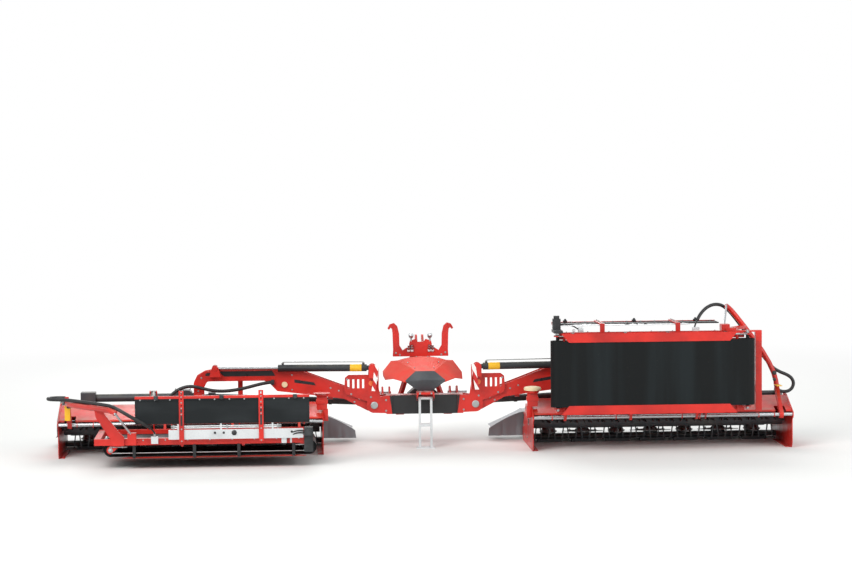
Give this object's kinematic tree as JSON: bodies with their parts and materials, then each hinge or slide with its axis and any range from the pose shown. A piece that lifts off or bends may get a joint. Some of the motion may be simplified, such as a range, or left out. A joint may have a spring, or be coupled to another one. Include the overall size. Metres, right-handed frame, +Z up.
{
  "type": "twin-wing disc mower conditioner with cross conveyors",
  "caption": "Rear-mounted folding pair of disc mowers with tine conditioners and swinging cross conveyor belts.",
  "frame": {"origin": "on the ground under the middle of the machine's box", "axes": "+X to the machine's right, +Y forward in travel, +Z up"},
  "size_m": [9.09, 3.2819, 1.7399],
  "materials": {
    "red_paint": "gloss enamel over welded steel",
    "red_cover": "moulded cover",
    "grey_plastic": "textured moulding",
    "grey_paint": "satin enamel",
    "black_paint": "satin enamel",
    "black_plastic": "blown polyethylene guard",
    "black_rubber": "woven-carcass rubber belting",
    "hose_rubber": "hydraulic hose",
    "crop_cover": "coated polyester tarpaulin",
    "bright_steel": "ground and plated steel",
    "zinc_plate": "galvanised sheet"
  },
  "bodies": {
    "headstock": {"headstock": "red_paint", "hose_rack": "red_paint", "link_pins": "bright_steel", "centre_gearbox": "grey_paint", "hood": "red_cover", "hood_nose": "grey_plastic", "marker_plates": "zinc_plate"},
    "park_stand": {"park_stand": "zinc_plate"},
    "arm_left": {"arm_left": "red_paint", "driveshaft_left": "black_plastic"},
    "fold_barrel_left": {"fold_barrel_left": "grey_paint"},
    "fold_rod_left": {"fold_rod_left": "bright_steel"},
    "mower_left": {"mower_frame_left": "red_paint", "cover_frame_left": "red_paint", "cutterbar_left": "grey_paint", "conditioner_hood_left": "red_paint", "side_gearbox_left": "grey_paint", "curtain_left": "crop_cover"},
    "rotor_left": {"conditioner_rotor_left": "grey_paint"},
    "conveyor_left": {"conveyor_frame_left": "red_paint", "belt_left": "black_rubber", "deflector_left": "black_rubber", "belt_motor_left": "black_paint", "lift_arm_left": "red_paint", "hoses_left": "hose_rubber"},
    "lift_barrel_left": {"lift_barrel_left": "grey_paint"},
    "lift_rod_left": {"lift_rod_left": "bright_steel"},
    "disc_left_1": {"disc_left_1": "bright_steel"},
    "disc_left_2": {"disc_left_2": "bright_steel"},
    "disc_left_3": {"disc_left_3": "bright_steel"},
    "disc_left_4": {"disc_left_4": "bright_steel"},
    "disc_left_5": {"disc_left_5": "bright_steel"},
    "disc_left_6": {"disc_left_6": "bright_steel"},
    "disc_left_7": {"disc_left_7": "bright_steel"},
    "arm_right": {"arm_right": "red_paint", "driveshaft_right": "black_plastic"},
    "fold_barrel_right": {"fold_barrel_right": "grey_paint"},
    "fold_rod_right": {"fold_rod_right": "bright_steel"},
    "mower_right": {"mower_frame_right": "red_paint", "cover_frame_right": "red_paint", "cutterbar_right": "grey_paint", "conditioner_hood_right": "red_paint", "side_gearbox_right": "grey_paint", "curtain_right": "crop_cover"},
    "rotor_right": {"conditioner_rotor_right": "grey_paint"},
    "conveyor_right": {"conveyor_frame_right": "red_paint", "belt_right": "black_rubber", "deflector_right": "black_rubber", "belt_motor_right": "black_paint", "lift_arm_right": "red_paint", "hoses_right": "hose_rubber"},
    "lift_barrel_right": {"lift_barrel_right": "grey_paint"},
    "lift_rod_right": {"lift_rod_right": "bright_steel"},
    "disc_right_1": {"disc_right_1": "bright_steel"},
    "disc_right_2": {"disc_right_2": "bright_steel"},
    "disc_right_3": {"disc_right_3": "bright_steel"},
    "disc_right_4": {"disc_right_4": "bright_steel"},
    "disc_right_5": {"disc_right_5": "bright_steel"},
    "disc_right_6": {"disc_right_6": "bright_steel"},
    "disc_right_7": {"disc_right_7": "bright_steel"}
  },
  "joints": [
    {"name": "stand", "type": "hinge", "parent": "headstock", "child": "park_stand", "pos_m": [0, 0.29, 0.61], "axis": [-1, 0, 0], "range_deg": [0, 88]},
    {"name": "fold_left", "type": "hinge", "parent": "headstock", "child": "arm_left", "pos_m": [-0.62, 0.52, 0.52], "axis": [0, 1, 0], "range_deg": [-4, 90]},
    {"name": "fold_barrel_left", "type": "hinge", "parent": "headstock", "child": "fold_barrel_left", "pos_m": [-0.64, 0.34, 0.985], "axis": [0, 1, 0], "range_deg": [-5.06, 108.65]},
    {"name": "fold_rod_left", "type": "slide", "parent": "fold_barrel_left", "child": "fold_rod_left", "axis": [-1, 0, 0.0089], "range_m": [-0.3635, 0.0173]},
    {"name": "tilt_left", "type": "hinge", "parent": "arm_left", "child": "mower_left", "pos_m": [-2.75, 0.52, 0.615], "axis": [0, 1, 0], "range_deg": [-5, 5]},
    {"name": "rotor_left", "type": "hinge", "parent": "mower_left", "child": "rotor_left", "pos_m": [-2.83, 0.19, 0.32], "axis": [1, 0, 0], "continuous": true},
    {"name": "belt_left", "type": "hinge", "parent": "mower_left", "child": "conveyor_left", "pos_m": [-2.83, -0.31, 0.41], "axis": [1, 0, 0], "range_deg": [-90, 0]},
    {"name": "lift_barrel_left", "type": "hinge", "parent": "mower_left", "child": "lift_barrel_left", "pos_m": [-3.3, 0.34, 0.72], "axis": [1, 0, 0], "range_deg": [-0.1, 5.96]},
    {"name": "lift_rod_left", "type": "slide", "parent": "lift_barrel_left", "child": "lift_rod_left", "axis": [0, -0.9709, -0.2396], "range_m": [-0.2321, 0.002]},
    {"name": "disc_left_1", "type": "hinge", "parent": "mower_left", "child": "disc_left_1", "pos_m": [-1.555, 0.79, 0.118], "axis": [0, 0, 1], "continuous": true},
    {"name": "disc_left_2", "type": "hinge", "parent": "mower_left", "child": "disc_left_2", "pos_m": [-1.98, 0.79, 0.118], "axis": [0, 0, 1], "continuous": true},
    {"name": "disc_left_3", "type": "hinge", "parent": "mower_left", "child": "disc_left_3", "pos_m": [-2.405, 0.79, 0.118], "axis": [0, 0, 1], "continuous": true},
    {"name": "disc_left_4", "type": "hinge", "parent": "mower_left", "child": "disc_left_4", "pos_m": [-2.83, 0.79, 0.118], "axis": [0, 0, 1], "continuous": true},
    {"name": "disc_left_5", "type": "hinge", "parent": "mower_left", "child": "disc_left_5", "pos_m": [-3.255, 0.79, 0.118], "axis": [0, 0, 1], "continuous": true},
    {"name": "disc_left_6", "type": "hinge", "parent": "mower_left", "child": "disc_left_6", "pos_m": [-3.68, 0.79, 0.118], "axis": [0, 0, 1], "continuous": true},
    {"name": "disc_left_7", "type": "hinge", "parent": "mower_left", "child": "disc_left_7", "pos_m": [-4.105, 0.79, 0.118], "axis": [0, 0, 1], "continuous": true},
    {"name": "fold_right", "type": "hinge", "parent": "headstock", "child": "arm_right", "pos_m": [0.62, 0.52, 0.52], "axis": [0, -1, 0], "range_deg": [-4, 90]},
    {"name": "fold_barrel_right", "type": "hinge", "parent": "headstock", "child": "fold_barrel_right", "pos_m": [0.64, 0.34, 0.985], "axis": [0, -1, 0], "range_deg": [-5.06, 108.65]},
    {"name": "fold_rod_right", "type": "slide", "parent": "fold_barrel_right", "child": "fold_rod_right", "axis": [1, 0, 0.0089], "range_m": [-0.3635, 0.0173]},
    {"name": "tilt_right", "type": "hinge", "parent": "arm_right", "child": "mower_right", "pos_m": [2.75, 0.52, 0.615], "axis": [0, -1, 0], "range_deg": [-5, 5]},
    {"name": "rotor_right", "type": "hinge", "parent": "mower_right", "child": "rotor_right", "pos_m": [2.83, 0.19, 0.32], "axis": [1, 0, 0], "continuous": true},
    {"name": "belt_right", "type": "hinge", "parent": "mower_right", "child": "conveyor_right", "pos_m": [2.83, -0.31, 0.41], "axis": [1, 0, 0], "range_deg": [0, 90]},
    {"name": "lift_barrel_right", "type": "hinge", "parent": "mower_right", "child": "lift_barrel_right", "pos_m": [3.3, 0.34, 0.72], "axis": [1, 0, 0], "range_deg": [-5.96, 0.1]},
    {"name": "lift_rod_right", "type": "slide", "parent": "lift_barrel_right", "child": "lift_rod_right", "axis": [0, -0.9413, -0.3375], "range_m": [-0.002, 0.2321]},
    {"name": "disc_right_1", "type": "hinge", "parent": "mower_right", "child": "disc_right_1", "pos_m": [1.555, 0.79, 0.118], "axis": [0, 0, 1], "continuous": true},
    {"name": "disc_right_2", "type": "hinge", "parent": "mower_right", "child": "disc_right_2", "pos_m": [1.98, 0.79, 0.118], "axis": [0, 0, 1], "continuous": true},
    {"name": "disc_right_3", "type": "hinge", "parent": "mower_right", "child": "disc_right_3", "pos_m": [2.405, 0.79, 0.118], "axis": [0, 0, 1], "continuous": true},
    {"name": "disc_right_4", "type": "hinge", "parent": "mower_right", "child": "disc_right_4", "pos_m": [2.83, 0.79, 0.118], "axis": [0, 0, 1], "continuous": true},
    {"name": "disc_right_5", "type": "hinge", "parent": "mower_right", "child": "disc_right_5", "pos_m": [3.255, 0.79, 0.118], "axis": [0, 0, 1], "continuous": true},
    {"name": "disc_right_6", "type": "hinge", "parent": "mower_right", "child": "disc_right_6", "pos_m": [3.68, 0.79, 0.118], "axis": [0, 0, 1], "continuous": true},
    {"name": "disc_right_7", "type": "hinge", "parent": "mower_right", "child": "disc_right_7", "pos_m": [4.105, 0.79, 0.118], "axis": [0, 0, 1], "continuous": true}
  ],
  "couplings": [
    {"joint": "fold_barrel_left", "follows": "fold_left", "ratio": 1.2045},
    {"joint": "fold_rod_left", "follows": "fold_left", "m_per_rad": -0.23011},
    {"joint": "lift_barrel_left", "follows": "belt_left", "ratio": -0.06513},
    {"joint": "lift_rod_left", "follows": "belt_left", "m_per_rad": 0.14647},
    {"joint": "disc_left_2", "follows": "disc_left_1", "ratio": -1},
    {"joint": "disc_left_3", "follows": "disc_left_1", "ratio": 1},
    {"joint": "disc_left_4", "follows": "disc_left_1", "ratio": -1},
    {"joint": "disc_left_5", "follows": "disc_left_1", "ratio": 1},
    {"joint": "disc_left_6", "follows": "disc_left_1", "ratio": -1},
    {"joint": "disc_left_7", "follows": "disc_left_1", "ratio": 1},
    {"joint": "fold_barrel_right", "follows": "fold_right", "ratio": 1.2045},
    {"joint": "fold_rod_right", "follows": "fold_right", "m_per_rad": -0.23011},
    {"joint": "lift_barrel_right", "follows": "belt_right", "ratio": -0.06513},
    {"joint": "lift_rod_right", "follows": "belt_right", "m_per_rad": 0.14647},
    {"joint": "disc_right_2", "follows": "disc_right_1", "ratio": -1},
    {"joint": "disc_right_3", "follows": "disc_right_1", "ratio": 1},
    {"joint": "disc_right_4", "follows": "disc_right_1", "ratio": -1},
    {"joint": "disc_right_5", "follows": "disc_right_1", "ratio": 1},
    {"joint": "disc_right_6", "follows": "disc_right_1", "ratio": -1},
    {"joint": "disc_right_7", "follows": "disc_right_1", "ratio": 1}
  ]
}
